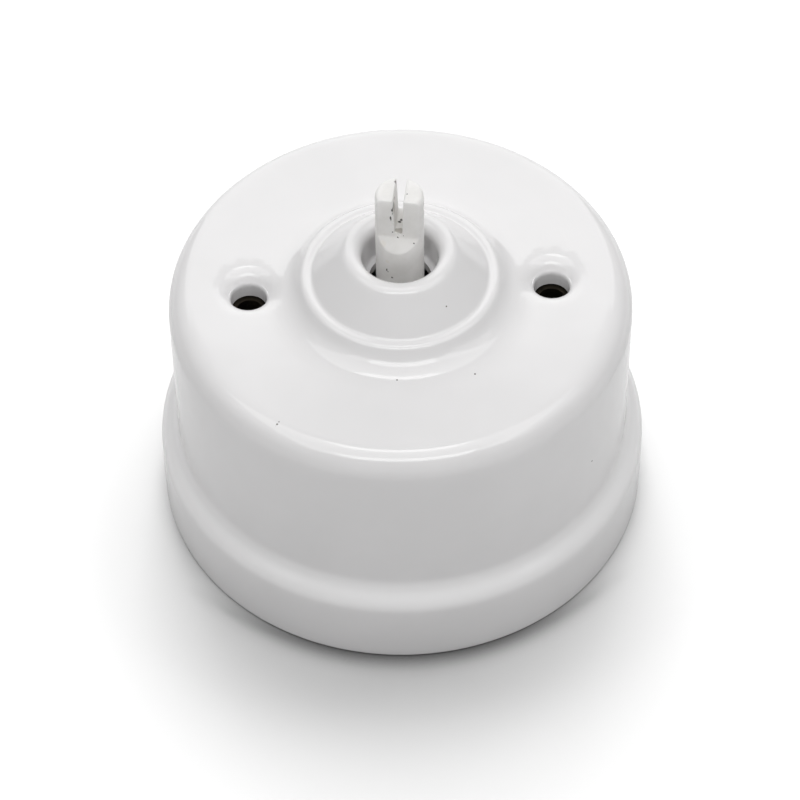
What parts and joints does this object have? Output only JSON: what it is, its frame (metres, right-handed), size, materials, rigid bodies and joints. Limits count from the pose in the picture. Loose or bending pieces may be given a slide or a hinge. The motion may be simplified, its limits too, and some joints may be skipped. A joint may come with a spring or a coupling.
{
  "type": "porcelain rotary switch",
  "caption": "Round surface-mounted porcelain light switch: a glazed drum cover on a flange, a stepped boss with a bare slit spindle, and a turning contact on a porcelain base.",
  "frame": {"origin": "centre of the switch on the wall plane", "axes": "+Z out of the wall along the spindle, +X along the line of the two cover screw holes"},
  "size_m": [0.065, 0.065, 0.054],
  "materials": {
    "white_glaze": "glossy white glaze",
    "base_porcelain": "thin glaze, bare rim",
    "spindle_plastic": "moulded, satin",
    "brass": "turned or stamped",
    "spring_bronze": "rolled strip",
    "contact_silver": "dull silver",
    "zinc_steel": "zinc plated",
    "spring_steel": "blued strip",
    "black_moulding": "hard moulded",
    "cam_moulding": "moulded, waxy"
  },
  "bodies": {
    "housing": {"porcelain_cover": "white_glaze", "porcelain_base": "base_porcelain", "cover_insert_left": "brass", "cover_insert_right": "brass", "bearing_bush": "brass", "bush_nut": "brass", "terminal_common": "brass", "terminal_one": "brass", "terminal_two": "brass", "contact_spring_common": "spring_bronze", "contact_spring_one": "spring_bronze", "contact_spring_two": "spring_bronze", "contact_button_common": "contact_silver", "contact_button_one": "contact_silver", "contact_button_two": "contact_silver", "yoke": "zinc_steel", "thrust_washer": "zinc_steel", "terminal_screws": "zinc_steel", "clamp_screws": "zinc_steel", "yoke_screws": "zinc_steel", "index_spring_front": "spring_steel", "index_spring_rear": "spring_steel"},
    "rotor": {"spindle": "spindle_plastic", "rotor_washer": "zinc_steel", "moving_contact": "brass", "rotor_hub": "black_moulding", "index_cam": "cam_moulding"}
  },
  "joints": [
    {"name": "spindle_turn", "type": "hinge", "parent": "housing", "child": "rotor", "pos_m": [0, 0, 0.0298], "axis": [0, 0, 1], "continuous": true, "deforming": ["index_spring_front", "index_spring_rear"]}
  ]
}
